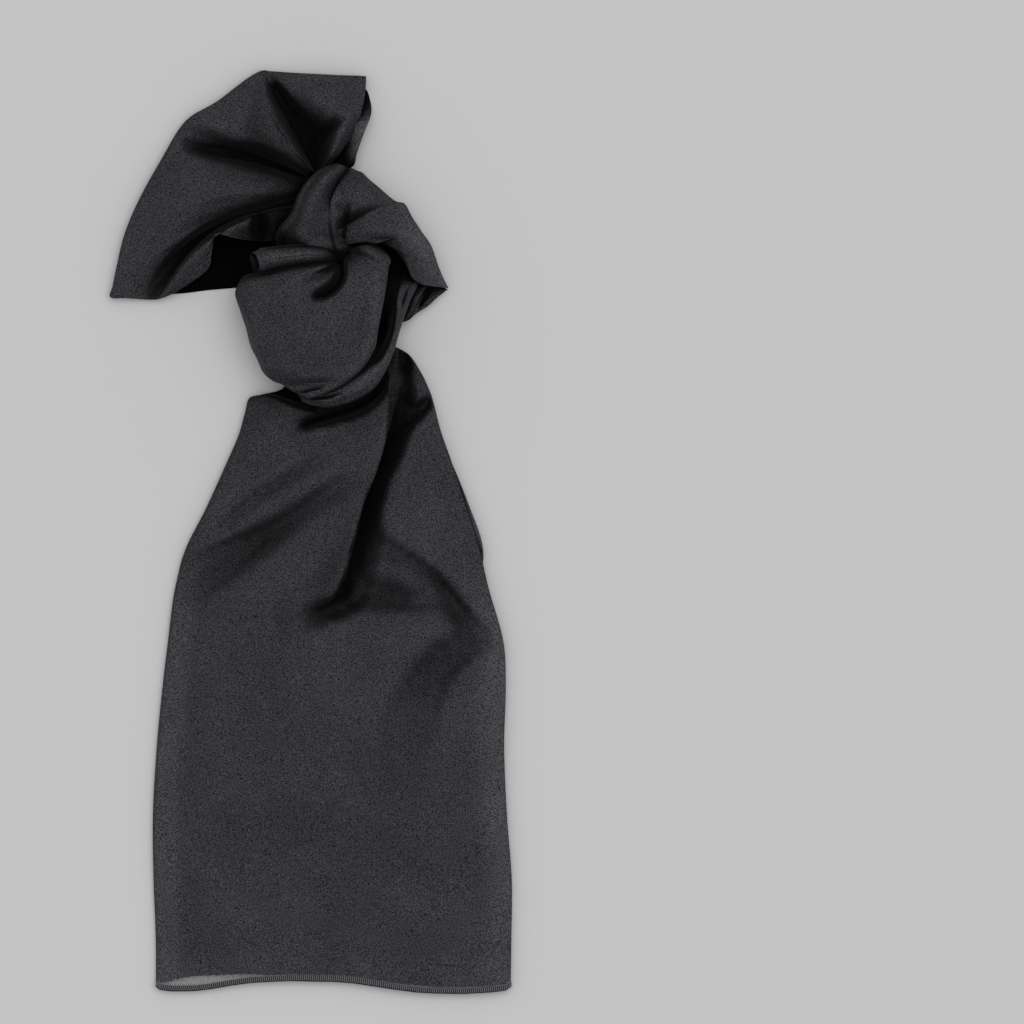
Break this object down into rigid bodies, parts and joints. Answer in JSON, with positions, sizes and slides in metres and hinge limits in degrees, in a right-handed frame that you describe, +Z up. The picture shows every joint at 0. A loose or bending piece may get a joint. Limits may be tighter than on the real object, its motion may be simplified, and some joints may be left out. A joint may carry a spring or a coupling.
{
  "type": "square scarf",
  "caption": "Crepe square scarf folded lengthwise to a band, tied in an overhand knot near one end and laid flat.",
  "frame": {"origin": "centre of the part's box in plan, on the surface it lies on", "axes": "+Y along the band from the hemmed long end to the fanned short end, +Z up from the surface"},
  "size_m": [0.2, 0.46, 0.0396],
  "materials": {
    "crepe": "matte",
    "hem_thread": "matte"
  },
  "bodies": {
    "root": {"tail": "crepe", "hem": "hem_thread", "knot_core": "crepe", "knot_wrap": "crepe", "under_wrap": "crepe", "knot_lip": "crepe", "neck_strand": "crepe", "loop_front": "crepe", "loop_back": "crepe", "fan_front": "crepe", "fan_back": "crepe"}
  },
  "joints": []
}
